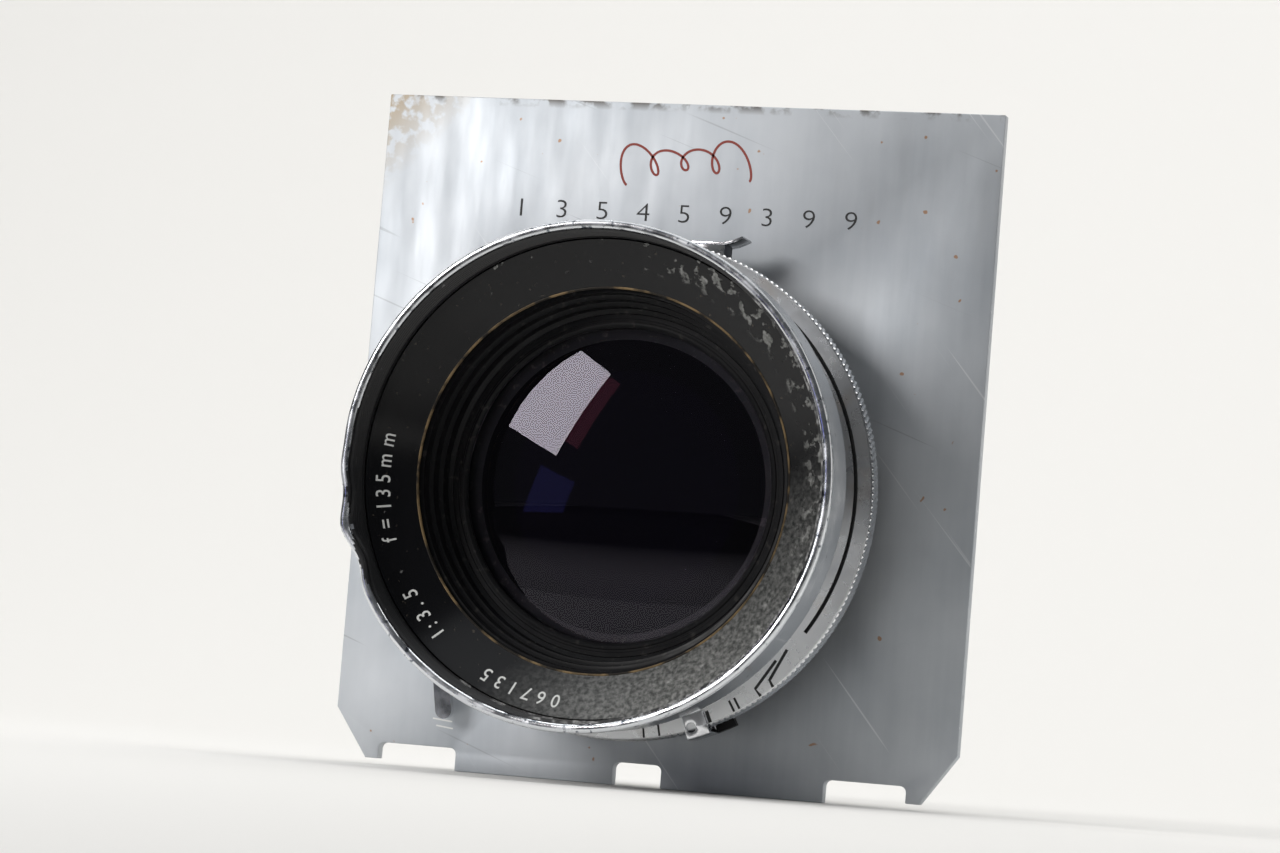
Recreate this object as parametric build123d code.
from build123d import *
import math
import os

# Large-format lens in a rim-set leaf shutter, mounted on a flat aluminium lens board.
# The pieces are laid out in a lens frame: origin on the lens axis at the rear face of the
# board, x to the right, y up, z forward towards the subject.  Millimetres and degrees.
# to_world() turns that frame so that the board stands upright and the lens faces -Y.

# ---------------------------------------------------------------- fits and clearances
SEAT = 0.03              # radial clearance of a screwed or pressed seat
RUN = 0.05               # radial clearance of a running fit
GAP = 0.2                # free space beside a sliding plate
STOP = 2.0               # degrees of free slot past each end of a lever's travel

# ---------------------------------------------------------------- lens board
BOARD_WIDTH = 93.0
BOARD_HEIGHT = 99.0
BOARD_THICK = 2.0
AXIS_BELOW_CENTRE = 7.8  # the lens axis lies this far below the board's centre
CORNER_X = 5.0           # bottom corner chamfer, across
CORNER_Y = 7.1           # bottom corner chamfer, up
HOOK_TAB_LIFT = 0.9      # the two outer tabs end this far above the bottom edge
HOOK_TAB_EDGE = 39.5     # inner edge of the two outer tabs, from the middle
SIDE_NOTCH_INNER = 27.6
SIDE_NOTCH_DEPTH = 3.3
MID_NOTCH_HALF = 3.6
MID_NOTCH_DEPTH = 3.3
NOTCH_ROUND = 0.9

# ---------------------------------------------------------------- shutter body
NECK_OUTER = 20.8        # threaded neck that passes through the board
NECK_BORE = NECK_OUTER - 2.6
NECK_LENGTH = 4.4        # behind the board's rear face
HOUSING_OUTER = 31.8
MECHANISM_BORE = HOUSING_OUTER - 0.8  # front pocket, above the mechanism plate
SHUTTER_BORE = HOUSING_OUTER - 1.2  # middle pocket, round the shutter blades
IRIS_BORE = HOUSING_OUTER - 1.9  # rear pocket, round the aperture blades
REAR_WALL = 1.4
LIGHT_RADIUS = 15.0      # the largest opening of both blade sets
LIGHT_MARGIN = 0.3       # plates and open blades stay this far outside it
RING_OUTER = NECK_OUTER + 4.7  # mounting ring behind the board
RING_THICK = 2.4
RING_NOTCH = 2.4
COUNTERBORE_DEPTH = 0.4
COUNTERBORE_MARGIN = 1.0
LOCATING_RADIUS = RING_OUTER + 2.7  # locating screw, from the lens axis
LOCATING_SCREW = 1.2

# ---------------------------------------------------------------- blade sets
BLADE_COUNT = 5
BLADE_THICK = 0.15
BLADE_PITCH = 0.3        # one layer per blade, so that no two blades touch
BLADE_OUTER = SHUTTER_BORE - 1.3
PIVOT_RADIUS = SHUTTER_BORE - 3.6
BLADE_SHOULDER = 58.0    # where the outer edge turns in, past its own pivot
WAIST_RADIUS = PIVOT_RADIUS - 5.6  # the tip passes inside the next blade's pivot here
WAIST_ANGLE = 67.0
TIP_ANGLE = 80.0
TAIL_ANGLE = -10.0
TAIL_RADIUS = PIVOT_RADIUS - 5.0
HEAD_RADIUS = 2.6
PIVOT_PIN = 0.6
DRIVE_PIN = 0.5
BLADE_FIT = 0.08
IRIS_SWING = 31.0        # wide open to the smallest stop
IRIS_PIN_ARM = 4.0       # from the pivot to the pin that rides in the ring's slot
IRIS_PIN_ANGLE = 110.0
IRIS_RING_TRAVEL = 40.0
IRIS_SLOT_SLACK = 0.12
IRIS_LEVER_ANGLE = 154.0
IRIS_LEVER_HALF = 3.0
IRIS_LEVER_REACH = HOUSING_OUTER + 5.0
SHUTTER_SWING = 36.0     # closed to fully open
DRIVE_RADIUS = PIVOT_RADIUS - 4.0
RING_PLATE = 0.6

# ---------------------------------------------------------------- mechanism
PLATE_THICK = 0.6
MECHANISM_PLATE = 1.0
TUBE_OUTER = 21.0        # front tube that the rings turn on
TUBE_BORE = TUBE_OUTER - 1.4
MECHANISM_ROOM = 4.5
COVER_THICK = 1.0
COVER_OUTER = HOUSING_OUTER + 1.2
PILLAR_ANGLES = (25.0, 128.0, 262.0, 348.0)
PILLAR_RADIUS = 1.4
PILLAR_CIRCLE = MECHANISM_BORE - 2.1
SCREW_RADIUS = 0.55
SCREW_HEAD = 1.3
COCKING_OUTER = TUBE_OUTER + 3.5
COCKING_THICK = 1.2
COCKING_ANGLE = 79.0
COCKING_TRAVEL = 37.0
COCKING_ARM_HALF = 2.4
COCKING_REACH = HOUSING_OUTER + 4.3
LUG_ANGLE = 50.0         # drive lug of the blade ring
TRAIN_CIRCLE = MECHANISM_BORE - 3.3  # centres of the retard gear train
TRAIN_START = 139.0
TOOTH_MODULE = 0.3
SECTOR_TEETH = 40        # teeth that the sector would have all round
PINION_TEETH = 10
SECTOR_HALF = 20.0
SECTOR_SWING = 16.0
ESCAPE_TEETH = 15
ESCAPE_RADIUS = 2.3
ARBOR = 0.4
RELEASE_PIVOT_RADIUS = HOUSING_OUTER + 3.7
RELEASE_PIVOT_ANGLE = 207.0
RELEASE_TIP_RADIUS = HOUSING_OUTER + 12.07
RELEASE_TIP_ANGLE = 228.8
RELEASE_HALF = 1.25
RELEASE_LOW = 4.2
RELEASE_THICK = 1.0
SYNC_LEVER_ANGLE = -64.6
SYNC_LEVER_TRAVEL = 20.0
SYNC_POST_ANGLE = 150.0
SYNC_POST_RADIUS = 1.75
SYNC_POST_REACH = HOUSING_OUTER + 6.7
SOCKET_ANGLE = 216.0
SOCKET_RADIUS = 2.4
SOCKET_BORE = 1.5
SOCKET_REACH = HOUSING_OUTER + 7.2
SOCKET_DEPTH = 6.0
FITTING_BELOW_COVER = 2.8  # axis of the sync post and the cable release socket

# ---------------------------------------------------------------- speed ring
SPEED_OUTER = HOUSING_OUTER + 3.6
SPEED_FACE = 0.8
SPEED_LIFT = 1.4         # from the cover plate up to the underside of the face
RIM_WALL = 1.5
SLOT_RADIUS = SPEED_OUTER - 2.52
SLOT_WIDTH = 0.54
SLOT_START = -33.7
SLOT_END = 73.0
STOP_PIN = 0.22
STOP_PIN_ANGLE = 71.0
INDEX_START = -71.0
INDEX_END = -65.6
INDEX_OUTER = SPEED_OUTER + 1.0
INDEX_HOLE = 0.7

# ---------------------------------------------------------------- front cell
RIM_FRONT = 40.0         # front rim, from the board's rear face
FILTER_BORE = 33.5
RIM_OUTER = FILTER_BORE + 1.3
HOOD_OUTER = FILTER_BORE + 0.9
HOOD_REAR = 29.5         # rear end of the wide front sleeve
FILTER_DEPTH = 4.7
FRONT_GLASS = 22.6
NAME_OUTER = FILTER_BORE - 0.6
NAME_INNER = FRONT_GLASS + 4.0
NAME_RISE = 4.2
WELL_FLOOR = 22.0        # height of the front glass's edge
SECOND_GLASS = min(TUBE_BORE - 2.4, FRONT_GLASS - 5.4)
SECOND_SEAT = 13.0
SPACER_OUTER = FRONT_GLASS - 2.2
LIGHT_BORE = SECOND_GLASS - 1.6  # inside of the threaded end of the cell
GLASS_FIT = 0.1

# ---------------------------------------------------------------- rear cell
REAR_GLASS = NECK_BORE - 0.7
REAR_BORE = REAR_GLASS - 1.1
CEMENT_BULGE = 3.0       # of the surface where the two rear glasses are cemented
REAR_BODY = NECK_OUTER - 0.2
REAR_FLANGE = NECK_OUTER + 1.2
REAR_LENGTH = 17.6       # behind the board's rear face

# ---------------------------------------------------------------- heights along the axis
BOARD_FRONT = BOARD_THICK
WALL_FRONT = BOARD_FRONT + REAR_WALL
IRIS_LOW = WALL_FRONT + GAP
IRIS_HIGH = IRIS_LOW + BLADE_PITCH * (BLADE_COUNT - 1) + BLADE_THICK
IRIS_RING_LOW = IRIS_HIGH + BLADE_PITCH
BASE_LOW = IRIS_RING_LOW + RING_PLATE + GAP
BASE_HIGH = BASE_LOW + PLATE_THICK
SHUTTER_LOW = BASE_HIGH + GAP
SHUTTER_HIGH = SHUTTER_LOW + BLADE_PITCH * (BLADE_COUNT - 1) + BLADE_THICK
BLADE_RING_LOW = SHUTTER_HIGH + BLADE_PITCH
PLATE_LOW = BLADE_RING_LOW + RING_PLATE + GAP
PLATE_HIGH = PLATE_LOW + MECHANISM_PLATE
COVER_LOW = PLATE_HIGH + MECHANISM_ROOM
COVER_HIGH = COVER_LOW + COVER_THICK
FACE_LOW = COVER_HIGH + SPEED_LIFT
FACE_HIGH = FACE_LOW + SPEED_FACE
COCKING_LOW = PLATE_HIGH + GAP
COCKING_HIGH = COCKING_LOW + COCKING_THICK
SHOULDER = FACE_LOW - 0.1
FITTING_HEIGHT = COVER_LOW - FITTING_BELOW_COVER
RELEASE_ARM_LOW = PLATE_HIGH + 0.4
SYNC_LEVER_LOW = PLATE_HIGH + 2.1
THREAD_LOW = RIM_FRONT - FILTER_DEPTH - 0.35
NAME_SHELF = THREAD_LOW - 1.15
NAME_FLOOR = NAME_SHELF - NAME_RISE
FRONT_LEDGE = WELL_FLOOR - 2.5
REAR_SHOULDER = -NECK_LENGTH - 0.05
REAR_SEAT = REAR_SHOULDER - 1.85
CEMENT_EDGE = REAR_SEAT - 6.7

PARTS = {}


# ---------------------------------------------------------------- shape helpers
def polar(radius, angle):
    return (radius * math.cos(math.radians(angle)), radius * math.sin(math.radians(angle)))


def rod(radius, low, high, centre=(0, 0)):
    """A cylinder along the lens axis direction, from low to high."""
    solid = Cylinder(radius, high - low, align=(Align.CENTER, Align.CENTER, Align.MIN))
    return Pos(centre[0], centre[1], low) * solid


def tube(outer, inner, low, high, centre=(0, 0)):
    return rod(outer, low, high, centre) - rod(inner, low - 1, high + 1, centre)


def lathe(*points):
    """Turn a closed outline of (radius, height) points round the lens axis."""
    outline = Polyline(*[(radius, 0, height) for radius, height in points], close=True)
    return revolve(make_face(outline), axis=Axis.Z)


def sector(inner, outer, low, high, start, end):
    """Part of a flat ring, between two angles."""
    corners = [(inner, 0, low), (outer, 0, low), (outer, 0, high), (inner, 0, high)]
    face = make_face(Polyline(*corners, close=True))
    return Rot(0, 0, start) * revolve(face, axis=Axis.Z, revolution_arc=end - start)


def radial_rod(radius, start, end, angle, height):
    """A cylinder that points straight out from the lens axis."""
    solid = Cylinder(radius, end - start, align=(Align.CENTER, Align.CENTER, Align.MIN))
    return Rot(0, 0, angle) * Pos(start, 0, height) * Rot(0, 90, 0) * solid


def bar(start, end, half_width, low, high):
    """A flat bar with round ends between two points."""
    length = math.dist(start, end)
    angle = math.degrees(math.atan2(end[1] - start[1], end[0] - start[0]))
    middle = ((start[0] + end[0]) / 2, (start[1] + end[1]) / 2)
    outline = Rot(0, 0, angle) * SlotCenterToCenter(length, 2 * half_width)
    return Pos(middle[0], middle[1], low) * extrude(outline, high - low)


def plate(points, low, high):
    """A straight-sided plate from its corner points."""
    outline = make_face(Polyline(*points, close=True))
    return Pos(0, 0, low) * extrude(outline, high - low)


def bow(radius, edge, bulge):
    """One lens surface in the (radius, height) plane: centre, halfway and edge points."""
    sphere = (radius ** 2 + bulge ** 2) / (2 * abs(bulge))
    drop = math.copysign(sphere - math.sqrt(sphere ** 2 - (radius / 2) ** 2), bulge)
    centre = (0, 0, edge + bulge)
    halfway = (radius / 2, 0, edge + bulge - drop)
    return centre, halfway, (radius, 0, edge)


def lens(radius, front_edge, front_bulge, rear_edge, rear_bulge):
    """A glass: each bulge is positive towards the subject."""
    front = bow(radius, front_edge, front_bulge)
    rear = bow(radius, rear_edge, rear_bulge)
    edges = [ThreePointArc(*front), Line(front[2], rear[2]), ThreePointArc(*reversed(rear))]
    edges.append(Line(rear[0], front[0]))
    return revolve(make_face(edges), axis=Axis.Z)


def group(solids):
    return Compound(children=list(solids))


def to_world(shape):
    """Lens frame to part frame: the board upright, +Z up, the lens facing -Y."""
    return Rot(90, 0, 0) * shape


# ---------------------------------------------------------------- board and its fixings
def lens_board():
    half = BOARD_WIDTH / 2
    top = BOARD_HEIGHT / 2 + AXIS_BELOW_CENTRE
    bottom = top - BOARD_HEIGHT
    chamfer_x = half - CORNER_X
    tab_low = bottom + HOOK_TAB_LIFT
    corners = [(-half, top), (half, top), (half, bottom + CORNER_Y + HOOK_TAB_LIFT)]
    corners += [(chamfer_x, tab_low), (-chamfer_x, tab_low)]
    corners += [(-half, bottom + CORNER_Y + HOOK_TAB_LIFT)]
    board = plate(corners, 0, BOARD_THICK)
    tongue = Box(2 * HOOK_TAB_EDGE, 2 * HOOK_TAB_LIFT, BOARD_THICK,
                 align=(Align.CENTER, Align.MIN, Align.MIN))
    board += Pos(0, bottom, 0) * tongue
    for side in (-1, 1):
        width = HOOK_TAB_EDGE - SIDE_NOTCH_INNER
        centre = side * (HOOK_TAB_EDGE + SIDE_NOTCH_INNER) / 2
        board -= notch(centre, width, bottom, SIDE_NOTCH_DEPTH)
    board -= notch(0, 2 * MID_NOTCH_HALF, bottom, MID_NOTCH_DEPTH)
    board -= rod(NECK_OUTER + GAP, -1, BOARD_THICK + 1)
    board -= rod(RING_OUTER + COUNTERBORE_MARGIN, -1, COUNTERBORE_DEPTH)
    board -= rod(LOCATING_SCREW + RUN, -1, BOARD_THICK + 1, polar(LOCATING_RADIUS, 90))
    return board


def notch(centre, width, bottom, depth):
    """A notch in the board's bottom edge, open downwards, with rounded inner corners."""
    outline = Pos(centre, bottom) * RectangleRounded(width, 2 * depth, NOTCH_ROUND)
    return Pos(0, 0, -1) * extrude(outline, BOARD_THICK + 2)


def mounting_ring():
    front = COUNTERBORE_DEPTH
    ring = tube(RING_OUTER, NECK_OUTER + SEAT, front - RING_THICK, front)
    for angle in (0, 90, 180, 270):
        slot = Box(RING_NOTCH, RING_NOTCH, RING_THICK + 2)
        ring -= Rot(0, 0, angle) * Pos(RING_OUTER, 0, front - RING_THICK / 2) * slot
    return ring


def locating_screw():
    return rod(LOCATING_SCREW, COUNTERBORE_DEPTH, WALL_FRONT, polar(LOCATING_RADIUS, 90))


# ---------------------------------------------------------------- shutter body
def shutter_housing():
    body = rod(HOUSING_OUTER, BOARD_FRONT, COVER_LOW)
    body -= rod(IRIS_BORE, WALL_FRONT, COVER_LOW + 1)
    body -= rod(SHUTTER_BORE, BASE_LOW, COVER_LOW + 1)
    body -= rod(MECHANISM_BORE, PLATE_LOW, COVER_LOW + 1)
    ear = polar(RELEASE_PIVOT_RADIUS, RELEASE_PIVOT_ANGLE)
    inner = polar(HOUSING_OUTER - 2, RELEASE_PIVOT_ANGLE)
    body += bar(inner, ear, 2.2, BOARD_FRONT, WALL_FRONT)
    body += rod(NECK_OUTER, -NECK_LENGTH, BOARD_FRONT)
    body -= rod(NECK_BORE, -NECK_LENGTH - 1, BOARD_FRONT)
    body -= rod(LIGHT_RADIUS + 2 * LIGHT_MARGIN, BOARD_FRONT - 1, WALL_FRONT + 1)
    body -= rod(LOCATING_SCREW + SEAT, 0, WALL_FRONT + 1, polar(LOCATING_RADIUS, 90))
    body -= rod(0.9 + SEAT, 0, WALL_FRONT + 1, ear)
    for angle in blade_angles():
        body -= rod(PIVOT_PIN + SEAT, WALL_FRONT - 0.8, WALL_FRONT + 1, polar(PIVOT_RADIUS, angle))
    for slot in housing_slots():
        body -= slot
    return body


def housing_slots():
    """Openings through the side wall for the levers and the two fittings."""
    inner = IRIS_BORE - 1
    outer = HOUSING_OUTER + 1
    iris_end = IRIS_LEVER_ANGLE + IRIS_RING_TRAVEL + IRIS_LEVER_HALF + STOP
    iris_start = IRIS_LEVER_ANGLE - IRIS_LEVER_HALF - STOP
    iris_low = IRIS_RING_LOW - 0.15
    arm_half = math.degrees(COCKING_ARM_HALF / HOUSING_OUTER) + STOP
    sync_start = SYNC_LEVER_ANGLE - 1.6 - STOP
    sync_end = SYNC_LEVER_ANGLE + 1.6 + SYNC_LEVER_TRAVEL + STOP
    release = Rot(0, 0, RELEASE_PIVOT_ANGLE) * Pos(HOUSING_OUTER, 0, RELEASE_ARM_LOW + 0.5)
    return [
        sector(inner, outer, iris_low, iris_low + RING_PLATE + 0.3, iris_start, iris_end),
        sector(inner, outer, COCKING_LOW - 0.15, COCKING_HIGH + 0.15,
               COCKING_ANGLE - arm_half, COCKING_ANGLE + COCKING_TRAVEL + arm_half),
        sector(inner, outer, SYNC_LEVER_LOW - 0.15, SYNC_LEVER_LOW + 1.25, sync_start, sync_end),
        release * Box(4, 5.6, 1.4),
        radial_rod(SYNC_POST_RADIUS + SEAT, inner, outer, SYNC_POST_ANGLE, FITTING_HEIGHT),
        radial_rod(SOCKET_RADIUS - 0.5 + SEAT, inner, outer, SOCKET_ANGLE, FITTING_HEIGHT),
    ]


def blade_base_plate():
    disc = tube(SHUTTER_BORE - SEAT, LIGHT_RADIUS + LIGHT_MARGIN / 2, BASE_LOW, BASE_HIGH)
    for angle in blade_angles():
        disc -= rod(PIVOT_PIN + SEAT, BASE_LOW - 1, BASE_HIGH + 1, polar(PIVOT_RADIUS, angle))
    return disc


def mechanism_plate():
    disc = tube(MECHANISM_BORE - SEAT, LIGHT_RADIUS + 2 * LIGHT_MARGIN, PLATE_LOW, PLATE_HIGH)
    disc += tube(TUBE_OUTER, TUBE_BORE, PLATE_LOW, SHOULDER)
    travel = shutter_ring_travel()
    disc -= sector(PIVOT_RADIUS - 1.3, PIVOT_RADIUS + 1.3, PLATE_LOW - 1, PLATE_HIGH + 1,
                   LUG_ANGLE - 4, LUG_ANGLE + 4 + travel)
    for angle in PILLAR_ANGLES:
        disc -= rod(0.8 + SEAT, PLATE_LOW - 1, PLATE_HIGH + 1, polar(PILLAR_CIRCLE, angle))
    for centre in train_centres():
        disc -= rod(ARBOR + SEAT, PLATE_LOW - 1, PLATE_HIGH + 1, centre)
    return disc


def cover_plate():
    disc = tube(COVER_OUTER, TUBE_OUTER + RUN, COVER_LOW, COVER_HIGH)
    for angle in PILLAR_ANGLES:
        spot = polar(PILLAR_CIRCLE, angle)
        disc -= rod(SCREW_RADIUS + RUN, COVER_LOW - 1, COVER_HIGH + 1, spot)
        disc -= rod(SCREW_HEAD + RUN, COVER_HIGH - 0.6, COVER_HIGH + 1, spot)
    spot = polar(SLOT_RADIUS, STOP_PIN_ANGLE)
    disc -= rod(STOP_PIN + SEAT / 2, COVER_LOW - 1, COVER_HIGH + 1, spot)
    return disc


def cover_pillars():
    pillars = []
    for angle in PILLAR_ANGLES:
        spot = polar(PILLAR_CIRCLE, angle)
        pillar = rod(PILLAR_RADIUS, PLATE_HIGH, COVER_LOW, spot)
        pillar += rod(0.8, PLATE_LOW, PLATE_HIGH, spot)
        pillar -= rod(SCREW_RADIUS + SEAT, COVER_LOW - 3.2, COVER_LOW + 1, spot)
        pillars.append(pillar)
    return group(pillars)


def cover_screws():
    screws = []
    for angle in PILLAR_ANGLES:
        spot = polar(PILLAR_CIRCLE, angle)
        screw = rod(SCREW_RADIUS, COVER_LOW - 3, COVER_HIGH - 0.6, spot)
        screw += rod(SCREW_HEAD, COVER_HIGH - 0.6, COVER_HIGH - 0.05, spot)
        slit = Pos(spot[0], spot[1], COVER_HIGH) * Box(3, 0.35, 0.5)
        screws.append(screw - slit)
    return group(screws)


# ---------------------------------------------------------------- blade sets
def blade_angles():
    return [index * 360 / BLADE_COUNT for index in range(BLADE_COUNT)]


def blade_outline():
    """An open blade whose pivot lies at angle 0: hollow inner edge, broad root, slim tip."""
    inner = LIGHT_RADIUS + LIGHT_MARGIN
    mid = (TAIL_ANGLE + TIP_ANGLE) / 2
    waist_end = TIP_ANGLE - 2
    waist_mid = (waist_end + WAIST_ANGLE) / 2
    root = -3.0
    edges = [
        ThreePointArc(polar(inner, TAIL_ANGLE), polar(inner, mid), polar(inner, TIP_ANGLE)),
        Line(polar(inner, TIP_ANGLE), polar(WAIST_RADIUS, waist_end)),
        ThreePointArc(polar(WAIST_RADIUS, waist_end), polar(WAIST_RADIUS, waist_mid),
                      polar(WAIST_RADIUS, WAIST_ANGLE)),
        Line(polar(WAIST_RADIUS, WAIST_ANGLE), polar(BLADE_OUTER, BLADE_SHOULDER)),
        ThreePointArc(polar(BLADE_OUTER, BLADE_SHOULDER), polar(BLADE_OUTER, BLADE_SHOULDER / 2),
                      polar(BLADE_OUTER, root)),
        Line(polar(BLADE_OUTER, root), polar(TAIL_RADIUS, TAIL_ANGLE)),
        Line(polar(TAIL_RADIUS, TAIL_ANGLE), polar(inner, TAIL_ANGLE)),
    ]
    head = Pos(PIVOT_RADIUS, 0) * Circle(HEAD_RADIUS)
    return make_face(edges) + head - Pos(PIVOT_RADIUS, 0) * Circle(PIVOT_PIN + BLADE_FIT)


def swing(shape, angle):
    """Turn a blade that lies at angle 0 about its own pivot."""
    return Pos(PIVOT_RADIUS, 0, 0) * Rot(0, 0, angle) * Pos(-PIVOT_RADIUS, 0, 0) * shape


def iris_pin(turn):
    """Where the iris blade's drive pin lies once the blade has turned."""
    offset = polar(IRIS_PIN_ARM, IRIS_PIN_ANGLE + turn)
    return (PIVOT_RADIUS + offset[0], offset[1])


def aperture_blade(index):
    low = IRIS_LOW + BLADE_PITCH * index
    blade = Pos(0, 0, low) * extrude(blade_outline(), BLADE_THICK)
    blade += rod(DRIVE_PIN, low, IRIS_RING_LOW + RING_PLATE - 0.05, iris_pin(0))
    return Rot(0, 0, blade_angles()[index]) * blade


def aperture_ring():
    """The ring whose slanted slots close the iris; its lever comes out at the side."""
    low = IRIS_RING_LOW
    high = low + RING_PLATE
    ring = tube(IRIS_BORE - RUN, LIGHT_RADIUS + 2 * LIGHT_MARGIN, low, high)
    start = IRIS_LEVER_ANGLE - IRIS_LEVER_HALF
    end = IRIS_LEVER_ANGLE + IRIS_LEVER_HALF
    ring += sector(IRIS_BORE - 1, IRIS_LEVER_REACH - 0.8, low, high, start, end)
    ring += sector(IRIS_LEVER_REACH - 0.8, IRIS_LEVER_REACH, low - 1, high + 1, start, end)
    for angle in blade_angles():
        ring -= Rot(0, 0, angle) * iris_slot(low, high)
    return ring


def iris_slot(low, high):
    """The path of one drive pin as the ring sees it, widened to take the pin."""
    steps = 6
    path = []
    for step in range(steps + 1):
        share = step / steps
        x, y = iris_pin(IRIS_SWING * share)
        angle = math.degrees(math.atan2(y, x)) - IRIS_RING_TRAVEL * share
        path.append(polar(math.hypot(x, y), angle))
    width = 2 * (DRIVE_PIN + IRIS_SLOT_SLACK)
    half = width / 2
    centre = Spline(*path)
    left = [offset_point(centre, step / steps, half) for step in range(steps + 1)]
    right = [offset_point(centre, step / steps, -half) for step in range(steps + 1)]
    first = centre.position_at(0) - centre.tangent_at(0) * half
    last = centre.position_at(1) + centre.tangent_at(1) * half
    edges = [Spline(*left), ThreePointArc(left[-1], last, right[-1])]
    edges += [Spline(*reversed(right)), ThreePointArc(right[0], first, left[0])]
    return Pos(0, 0, low - 1) * extrude(make_face(edges), high - low + 2)


def offset_point(curve, share, distance):
    tangent = curve.tangent_at(share)
    return curve.position_at(share) + Vector(-tangent.Y, tangent.X, 0) * distance


def aperture_pivots():
    low = WALL_FRONT - 0.8
    high = IRIS_RING_LOW - 0.1
    return group(rod(PIVOT_PIN, low, high, polar(PIVOT_RADIUS, a)) for a in blade_angles())


def shutter_ring_travel():
    """Turn of the blade ring that swings the shutter blades from closed to open."""
    half = math.radians(SHUTTER_SWING / 2)
    reach = PIVOT_RADIUS * math.sin(half) / DRIVE_RADIUS
    return 2 * math.degrees(math.asin(reach) - half)


def shutter_slot():
    """The short slot in a shutter blade that takes the ring's drive pin."""
    travel = shutter_ring_travel()
    spots = []
    for step in range(9):
        share = step / 8
        x, y = polar(DRIVE_RADIUS, travel / 2 - travel * share)
        turn = math.radians(-SHUTTER_SWING * share)
        dx = x - PIVOT_RADIUS
        spots.append((dx * math.cos(turn) - y * math.sin(turn),
                      dx * math.sin(turn) + y * math.cos(turn)))
    arms = [math.hypot(*spot) for spot in spots]
    angles = [math.degrees(math.atan2(spot[1], spot[0])) for spot in spots]
    middle = (min(angles) + max(angles)) / 2
    spread = math.radians(max(angles) - min(angles)) / 2 * max(arms)
    width = 2 * (DRIVE_PIN + BLADE_FIT + spread)
    length = max(arms) - min(arms)
    slot = SlotCenterToCenter(length + BLADE_FIT, width)
    return Pos(PIVOT_RADIUS, 0) * Rot(0, 0, middle) * Pos((max(arms) + min(arms)) / 2, 0) * slot


def shutter_blade(index):
    low = SHUTTER_LOW + BLADE_PITCH * index
    blade = Pos(0, 0, low) * extrude(blade_outline() - shutter_slot(), BLADE_THICK)
    return Rot(0, 0, blade_angles()[index]) * swing(blade, SHUTTER_SWING)


def blade_ring():
    """Turns all shutter blades at once: five pins behind it, a lug in front."""
    low = BLADE_RING_LOW
    high = low + RING_PLATE
    ring = tube(SHUTTER_BORE - RUN, LIGHT_RADIUS + 2 * LIGHT_MARGIN, low, high)
    travel = shutter_ring_travel()
    closed = -travel / 2
    for angle in blade_angles():
        ring -= sector(PIVOT_RADIUS - 1.4, PIVOT_RADIUS + 1.4, low - 1, high + 1,
                       angle - travel - STOP, angle + STOP)
        ring += rod(DRIVE_PIN, SHUTTER_LOW - 0.1, low, polar(DRIVE_RADIUS, angle + closed))
    ring += sector(PIVOT_RADIUS - 1, PIVOT_RADIUS + 1, low, PLATE_HIGH + 1.5, LUG_ANGLE - 2, LUG_ANGLE + 2)
    return ring


def shutter_pivots():
    low = BASE_LOW
    high = BLADE_RING_LOW + RING_PLATE
    return group(rod(PIVOT_PIN, low, high, polar(PIVOT_RADIUS, a)) for a in blade_angles())


# ---------------------------------------------------------------- mechanism
def cocking_ring():
    """The ring that winds the main spring, with its arm and finger lever at the top."""
    ring = tube(COCKING_OUTER, TUBE_OUTER + RUN, COCKING_LOW, COCKING_HIGH)
    start = polar(COCKING_OUTER - 1, COCKING_ANGLE)
    end = polar(COCKING_REACH - 1.4, COCKING_ANGLE)
    ring += bar(start, end, COCKING_ARM_HALF, COCKING_LOW, COCKING_HIGH)
    low = BOARD_FRONT + 5.0
    head = [(4.4, COCKING_REACH - 1.9), (4.4, COCKING_REACH), (9.2, COCKING_REACH),
            (12.0, COCKING_REACH + 1.0), (12.4, COCKING_REACH + 0.2), (9.4, COCKING_REACH - 1.4),
            (9.4, COCKING_REACH - 1.9)]
    return ring + plate(head, low, COCKING_HIGH)


def main_spring():
    """One turn of round wire beside the front tube, with two short hooked ends."""
    wire = 0.4
    radius = TUBE_OUTER + 1.6
    height = COCKING_HIGH + GAP + wire
    profile = Pos(radius, 0, height) * Rot(90, 0, 0) * Circle(wire)
    coil = Rot(0, 0, 20) * revolve(profile, axis=Axis.Z, revolution_arc=320)
    hook = radial_rod(wire, radius, radius + 2.6, 20, height)
    tail = radial_rod(wire, radius, radius + 2.6, 340, height)
    return coil + hook + tail


def train_centres():
    """Arbors of the retard train: toothed sector, wheel and pallet, on one circle."""
    reach = TOOTH_MODULE * (SECTOR_TEETH + PINION_TEETH) / 2
    first = 2 * math.degrees(math.asin(reach / 2 / TRAIN_CIRCLE))
    second = 2 * math.degrees(math.asin(4.4 / 2 / TRAIN_CIRCLE))
    angles = (TRAIN_START, TRAIN_START + first, TRAIN_START + first + second)
    return [polar(TRAIN_CIRCLE, angle) for angle in angles]


def gear(teeth, low, high, first, last, facing, half_tooth=0.22):
    """A disc with straight-flanked teeth, number first to last, the first one facing."""
    pitch_radius = TOOTH_MODULE * teeth / 2
    root = pitch_radius - 1.15 * TOOTH_MODULE
    tip = pitch_radius + 0.85 * TOOTH_MODULE
    step = 360 / teeth
    tooth = [polar(root - 0.2, -step * half_tooth * 1.5), polar(tip, -step * half_tooth * 0.6),
             polar(tip, step * half_tooth * 0.6), polar(root - 0.2, step * half_tooth * 1.5)]
    solid = rod(root, low, high)
    for index in range(first, last + 1):
        solid += Rot(0, 0, facing + index * step) * plate(tooth, low, high)
    return solid


def line_angle(start, end):
    return math.degrees(math.atan2(end[1] - start[1], end[0] - start[0]))


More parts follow.
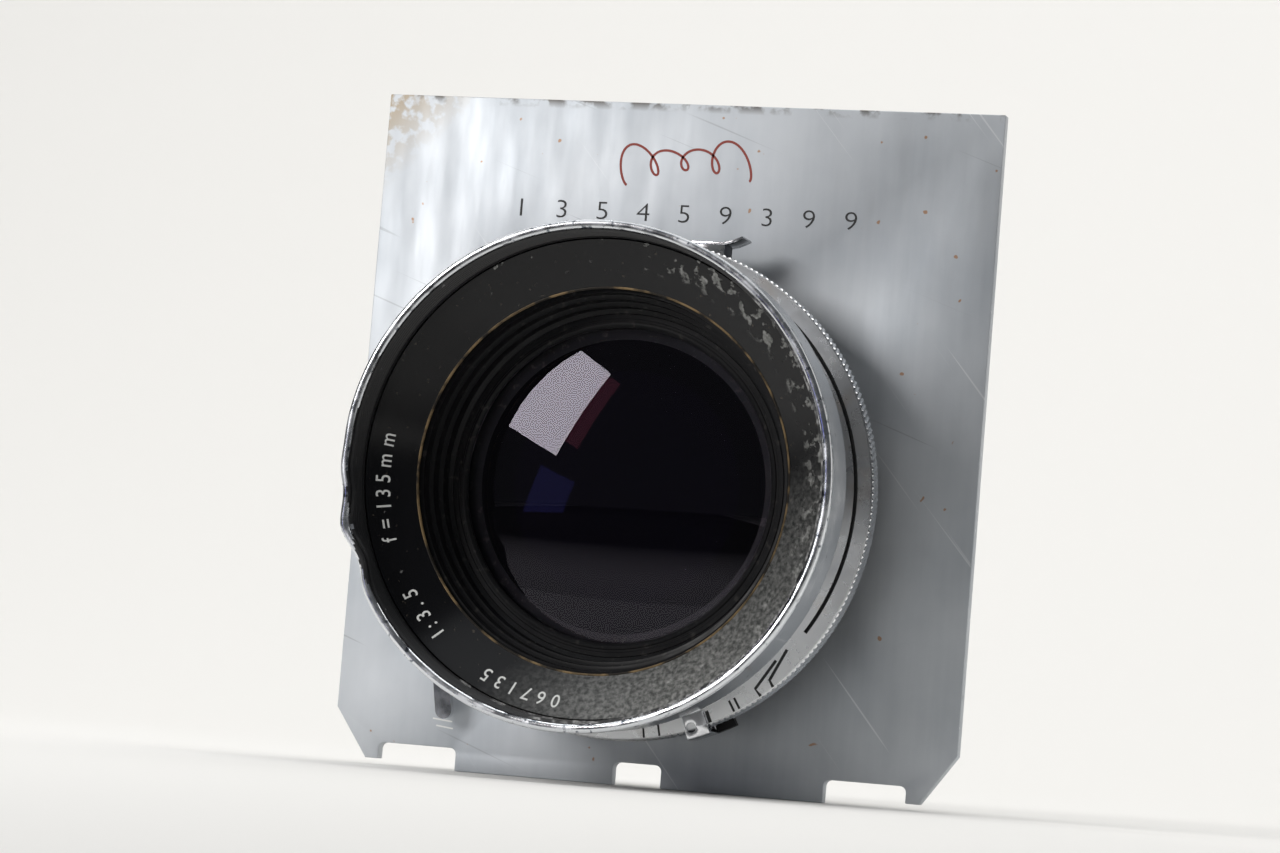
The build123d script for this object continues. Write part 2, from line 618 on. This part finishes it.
def retard_sector():
    hub, wheel, _ = train_centres()
    facing = line_angle(hub, wheel) - SECTOR_SWING / 2
    low = PLATE_HIGH + 2.1
    high = low + 0.8
    step = 360 / SECTOR_TEETH
    count = round(SECTOR_HALF / step)
    nearest = round(SECTOR_SWING / 2 / step) * step - SECTOR_SWING / 2
    blank = gear(SECTOR_TEETH, low, high, -count, count, facing - nearest)
    reach = TOOTH_MODULE * SECTOR_TEETH
    keep = sector(0.01, reach, low - 1, high + 1, facing - SECTOR_HALF - 3, facing + SECTOR_HALF + 3)
    solid = (blank & keep) + rod(1.2, PLATE_HIGH + 0.3, high)
    return Pos(hub[0], hub[1], 0) * (solid - rod(ARBOR + RUN, 0, high + 1))


def retard_wheel():
    hub, wheel, _ = train_centres()
    low = PLATE_HIGH + 2.1
    facing = line_angle(wheel, hub) + 180 / PINION_TEETH
    solid = gear(PINION_TEETH, low - 0.1, low + 0.9, 0, PINION_TEETH - 1, facing)
    solid += rod(1.0, PLATE_HIGH + 0.3, low)
    tooth = [polar(ESCAPE_RADIUS - 0.8, -10), polar(ESCAPE_RADIUS, -3),
             polar(ESCAPE_RADIUS, 3), polar(ESCAPE_RADIUS - 0.8, 10)]
    star = rod(ESCAPE_RADIUS - 0.7, low + 0.9, low + 1.5)
    for index in range(ESCAPE_TEETH):
        star += Rot(0, 0, index * 360 / ESCAPE_TEETH) * plate(tooth, low + 0.9, low + 1.5)
    return Pos(wheel[0], wheel[1], 0) * (solid + star - rod(ARBOR + RUN, 0, low + 3))


def retard_pallet():
    _, wheel, pallet = train_centres()
    low = PLATE_HIGH + 3.0
    facing = line_angle(pallet, wheel)
    solid = rod(0.9, PLATE_HIGH + 0.3, low + 0.6)
    for side in (-1, 1):
        elbow = polar(2.2, facing + side * 72)
        solid += bar((0, 0), elbow, 0.4, low, low + 0.6)
        solid += bar(elbow, polar(3.0, facing + side * 62), 0.3, low, low + 0.6)
    return Pos(pallet[0], pallet[1], 0) * (solid - rod(ARBOR + RUN, 0, low + 3))


def retard_arbors():
    high = COVER_LOW - GAP
    return group(rod(ARBOR, PLATE_LOW, high, centre) for centre in train_centres())


def release_lever():
    """A cranked lever: finger strip near the board, tripping arm inside the housing."""
    pivot = polar(RELEASE_PIVOT_RADIUS, RELEASE_PIVOT_ANGLE)
    inner = polar(COCKING_OUTER + 1.7, RELEASE_PIVOT_ANGLE)
    arm_high = RELEASE_ARM_LOW + RELEASE_THICK
    tip = polar(RELEASE_TIP_RADIUS, RELEASE_TIP_ANGLE)
    lever = bar(pivot, tip, RELEASE_HALF, RELEASE_LOW, RELEASE_LOW + RELEASE_THICK)
    lever += rod(1.8, WALL_FRONT + GAP, arm_high, pivot)
    lever += bar(pivot, inner, 1.2, RELEASE_ARM_LOW, arm_high)
    return lever - rod(0.9 + RUN, 0, arm_high + 1, pivot)


def release_pivot():
    pivot = polar(RELEASE_PIVOT_RADIUS, RELEASE_PIVOT_ANGLE)
    top = RELEASE_ARM_LOW + RELEASE_THICK + 0.1
    screw = rod(0.9, BOARD_FRONT + 0.1, top, pivot) + rod(1.6, top, top + 0.6, pivot)
    return screw - Pos(pivot[0], pivot[1], top + 0.6) * Box(4, 0.4, 0.6)


def release_spring():
    """A turn of wire round the lever's boss, with one leg against the housing."""
    pivot = polar(RELEASE_PIVOT_RADIUS, RELEASE_PIVOT_ANGLE)
    wire = 0.3
    radius = 1.8 + 2 * wire
    height = RELEASE_LOW + RELEASE_THICK + GAP + wire
    coil = revolve(Pos(radius, 0, height) * Rot(90, 0, 0) * Circle(wire), axis=Axis.Z)
    leg = Cylinder(0.8 * wire, 3.2, align=(Align.CENTER, Align.CENTER, Align.MIN))
    leg = Pos(radius, 0, height) * Rot(-90, 0, 0) * leg
    return Pos(pivot[0], pivot[1], 0) * Rot(0, 0, RELEASE_PIVOT_ANGLE - 180) * (coil + leg)


def sync_lever():
    """A selector that slides round inside the wall; its pad shows under the speed ring."""
    low = SYNC_LEVER_LOW
    high = low + 1.1
    angle = SYNC_LEVER_ANGLE
    inner = MECHANISM_BORE - 3.6
    reach = SPEED_OUTER - 0.1
    lever = sector(inner, inner + 1.6, low, high, angle - 18, angle + 18)
    lever += sector(inner + 1.5, reach, low, high, angle - 1.6, angle + 1.6)
    return lever + sector(reach - 0.2, reach + 0.9, low, high, angle - 3.2, angle + 3.2)


def sync_post():
    wall = HOUSING_OUTER
    sleeve = radial_rod(SYNC_POST_RADIUS, MECHANISM_BORE + 0.1, SYNC_POST_REACH,
                        SYNC_POST_ANGLE, FITTING_HEIGHT)
    sleeve += radial_rod(2.4, wall + 0.1, wall + 1.1, SYNC_POST_ANGLE, FITTING_HEIGHT)
    bore = radial_rod(1.3, MECHANISM_BORE - 1, SYNC_POST_REACH + 1, SYNC_POST_ANGLE, FITTING_HEIGHT)
    return sleeve - bore


def sync_insulator():
    start = MECHANISM_BORE + 0.1
    outer = radial_rod(1.3 - SEAT, start, SYNC_POST_REACH - 3, SYNC_POST_ANGLE, FITTING_HEIGHT)
    hole = radial_rod(0.5 + SEAT, start - 1, SYNC_POST_REACH, SYNC_POST_ANGLE, FITTING_HEIGHT)
    return outer - hole


def sync_contact():
    start = MECHANISM_BORE - 0.3
    return radial_rod(0.5, start, SYNC_POST_REACH - 0.8, SYNC_POST_ANGLE, FITTING_HEIGHT)


def cable_release_socket():
    wall = HOUSING_OUTER
    neck = SOCKET_RADIUS - 0.5
    body = radial_rod(neck, MECHANISM_BORE + 0.1, wall + 0.5, SOCKET_ANGLE, FITTING_HEIGHT)
    body += radial_rod(SOCKET_RADIUS, wall + 0.1, SOCKET_REACH, SOCKET_ANGLE, FITTING_HEIGHT)
    bore_start = SOCKET_REACH - SOCKET_DEPTH
    body -= radial_rod(SOCKET_BORE, bore_start, SOCKET_REACH + 1, SOCKET_ANGLE, FITTING_HEIGHT)
    return body - radial_rod(0.6, 0, SOCKET_REACH, SOCKET_ANGLE, FITTING_HEIGHT)


# ---------------------------------------------------------------- speed ring and index
def speed_ring():
    """The setting ring: a flat face with an arc slot, and a grip rim over the housing."""
    rim_low = COVER_LOW - GAP
    face = tube(SPEED_OUTER - 0.3, TUBE_OUTER + RUN, FACE_LOW, FACE_HIGH)
    rim = tube(SPEED_OUTER, SPEED_OUTER - RIM_WALL, rim_low, FACE_HIGH - 0.3)
    ring = face + rim
    width = math.degrees(SLOT_WIDTH / 2 / SLOT_RADIUS)
    low = SLOT_RADIUS - SLOT_WIDTH / 2
    high = SLOT_RADIUS + SLOT_WIDTH / 2
    slot = sector(low, high, FACE_LOW - 0.05, FACE_HIGH + 1, SLOT_START + width, SLOT_END - width)
    for angle in (SLOT_START + width, SLOT_END - width):
        spot = polar(SLOT_RADIUS, angle)
        slot += rod(SLOT_WIDTH / 2, FACE_LOW - 0.05, FACE_HIGH + 1, spot)
    return ring - slot


def speed_cam():
    """The stepped cam under the face that sets the shutter speeds."""
    low = COVER_HIGH + 0.3
    small = TUBE_OUTER + 5.0
    rise = (SPEED_OUTER - 5.0 - small) / 7
    cam = tube(small, TUBE_OUTER + RUN, low, FACE_LOW)
    for index in range(7):
        start = 60 + index * 36
        cam += sector(small - 0.5, small + 0.8 + rise * index, low, FACE_LOW, start, start + 36)
    return cam


def speed_stop_pin():
    spot = polar(SLOT_RADIUS, STOP_PIN_ANGLE)
    return rod(STOP_PIN, COVER_LOW + 0.1, FACE_HIGH - 0.1, spot)


def detent_spring():
    radius = HOUSING_OUTER - 0.2
    strip = sector(radius, radius + 0.3, COVER_HIGH, COVER_HIGH + 0.9, 215, 265)
    return strip + sector(radius - 0.4, radius + 0.6, COVER_HIGH, COVER_HIGH + 0.9, 262, 267)


def index_lug():
    """The fixed pointer that wraps over the speed ring's edge."""
    foot_low = COVER_LOW - 1.1
    flange_low = FACE_HIGH + GAP
    flange_high = flange_low + 0.5
    lug = sector(HOUSING_OUTER + SEAT, INDEX_OUTER, foot_low, foot_low + 0.7, INDEX_START, INDEX_END)
    wall_inner = SPEED_OUTER + 0.35
    lug += sector(wall_inner, INDEX_OUTER, foot_low, flange_high, INDEX_START, INDEX_END)
    lug += sector(INDEX_OUTER - 3.3, INDEX_OUTER, flange_low, flange_high, INDEX_START, INDEX_END)
    return lug - rod(INDEX_HOLE, flange_low + 0.1, flange_high + 1,
                     polar(INDEX_OUTER - 1.5, INDEX_START + 1.5))


# ---------------------------------------------------------------- front cell
def front_barrel():
    """Front cell mount: screws into the tube, flares out and ends in the filter thread."""
    glass = FRONT_GLASS + GLASS_FIT
    spacer = SPACER_OUTER + SEAT
    second = SECOND_GLASS + GLASS_FIT
    return lathe(
        (LIGHT_BORE, PLATE_HIGH + 0.5), (TUBE_BORE - SEAT, PLATE_HIGH + 0.5),
        (TUBE_BORE - SEAT, SHOULDER), (TUBE_OUTER, SHOULDER), (TUBE_OUTER, FACE_HIGH + 0.3),
        (FRONT_GLASS, FACE_HIGH + 0.3), (FRONT_GLASS + 0.8, FACE_HIGH + 1.2),
        (HOOD_OUTER - 3.9, HOOD_REAR - 2.5),
        (HOOD_OUTER, HOOD_REAR), (HOOD_OUTER, RIM_FRONT - 1.4), (RIM_OUTER, RIM_FRONT - 1.1),
        (RIM_OUTER, RIM_FRONT - 0.3), (RIM_OUTER - 0.3, RIM_FRONT),
        (FILTER_BORE + 0.35, RIM_FRONT), (FILTER_BORE, RIM_FRONT - 0.35),
        (FILTER_BORE, THREAD_LOW), (NAME_OUTER + GLASS_FIT, THREAD_LOW),
        (NAME_OUTER + GLASS_FIT, NAME_SHELF), (NAME_INNER + 0.4, NAME_FLOOR),
        (NAME_INNER - 0.5, NAME_FLOOR), (FRONT_GLASS + 1.4, WELL_FLOOR + 1.2),
        (FRONT_GLASS + 1.4, WELL_FLOOR), (glass, WELL_FLOOR), (glass, FRONT_LEDGE),
        (spacer, FRONT_LEDGE), (spacer, FRONT_LEDGE - 1.5), (second, FRONT_LEDGE - 1.5),
        (second, SECOND_SEAT), (LIGHT_BORE, SECOND_SEAT),
    )


def name_ring():
    """The dished ring round the front glass, on the barrel's conical shelf."""
    lift = 0.05
    thick = 0.9
    return lathe((NAME_INNER, NAME_FLOOR + lift), (NAME_INNER + 0.4, NAME_FLOOR + lift),
                 (NAME_OUTER, NAME_SHELF + lift), (NAME_OUTER, NAME_SHELF + lift + thick),
                 (NAME_INNER, NAME_FLOOR + lift + thick))


def front_element():
    return lens(FRONT_GLASS, WELL_FLOOR - 0.05, 3.0, FRONT_LEDGE, 0.4)


def front_retaining_ring():
    outer = FRONT_GLASS + 1.4 - SEAT
    return lathe((FRONT_GLASS - 0.6, WELL_FLOOR + 0.25), (outer, WELL_FLOOR + 0.02),
                 (outer, WELL_FLOOR + 1.1), (FRONT_GLASS - 0.2, WELL_FLOOR + 1.1),
                 (FRONT_GLASS - 0.6, WELL_FLOOR + 0.7))


def front_spacer():
    low = FRONT_LEDGE - 1.95
    step = FRONT_LEDGE - 1.45
    inner = SECOND_GLASS - 1.0
    outer = SPACER_OUTER
    return lathe((inner, low), (SECOND_GLASS, low), (SECOND_GLASS, step), (outer, step),
                 (outer, FRONT_LEDGE - 0.02), (outer - 0.8, FRONT_LEDGE - 0.02), (inner, step))


def second_element():
    return lens(SECOND_GLASS, FRONT_LEDGE - 2.0, -1.2, SECOND_SEAT + 0.02, 1.5)


# ---------------------------------------------------------------- rear cell
def rear_barrel():
    """Rear cell mount: screws into the neck behind the board and holds the doublet."""
    glass = REAR_GLASS + GLASS_FIT
    return lathe(
        (REAR_BORE, 1.0), (NECK_BORE - SEAT, 1.0), (NECK_BORE - SEAT, REAR_SHOULDER),
        (REAR_FLANGE, REAR_SHOULDER), (REAR_FLANGE, REAR_SHOULDER - 2.2),
        (REAR_BODY, REAR_SHOULDER - 2.4), (REAR_BODY, -REAR_LENGTH + 0.6),
        (REAR_BODY - 0.6, -REAR_LENGTH), (REAR_GLASS + 0.8, -REAR_LENGTH),
        (glass, -REAR_LENGTH + 0.7), (glass, REAR_SEAT + 0.05), (REAR_BORE, REAR_SEAT + 0.05),
    )


def rear_doublet_front():
    return lens(REAR_GLASS, REAR_SEAT, -2.6, CEMENT_EDGE, CEMENT_BULGE)


def rear_doublet_rear():
    return lens(REAR_GLASS, CEMENT_EDGE - 0.02, CEMENT_BULGE, CEMENT_EDGE - 1.0, -2.4)


def rear_retaining_ring():
    """Screws in behind the rear glass; its front face slopes to clear the glass."""
    front = CEMENT_EDGE - 1.05
    inner = REAR_GLASS - 1.4
    outer = REAR_GLASS + GLASS_FIT - SEAT
    return lathe((inner, front - 0.45), (outer, front), (outer, front - 2.2), (inner, front - 2.2))


# ---------------------------------------------------------------- assembly
def build():
    makers = [
        lens_board, mounting_ring, locating_screw, shutter_housing, blade_base_plate,
        mechanism_plate, cover_plate, cover_pillars, cover_screws, aperture_ring,
        aperture_pivots, blade_ring, shutter_pivots, cocking_ring, main_spring,
        retard_sector, retard_wheel, retard_pallet, retard_arbors, release_lever,
        release_pivot, release_spring, sync_lever, sync_post, sync_insulator,
        sync_contact, cable_release_socket, speed_ring, speed_cam, speed_stop_pin,
        detent_spring, index_lug, front_barrel, name_ring, front_element,
        front_retaining_ring, front_spacer, second_element, rear_barrel,
        rear_doublet_front, rear_doublet_rear, rear_retaining_ring,
    ]
    for maker in makers:
        PARTS[maker.__name__] = maker()
    for index in range(BLADE_COUNT):
        PARTS[f"aperture_blade_{index + 1}"] = aperture_blade(index)
        PARTS[f"shutter_blade_{index + 1}"] = shutter_blade(index)


os.makedirs("parts", exist_ok=True)
build()
for name, shape in PARTS.items():
    export_step(to_world(shape), f"parts/{name}.step")
print(len(PARTS), "nodes; blade ring travel", round(shutter_ring_travel(), 3), "degrees")
for centre in train_centres():
    print("arbor at", [round(value, 4) for value in centre])
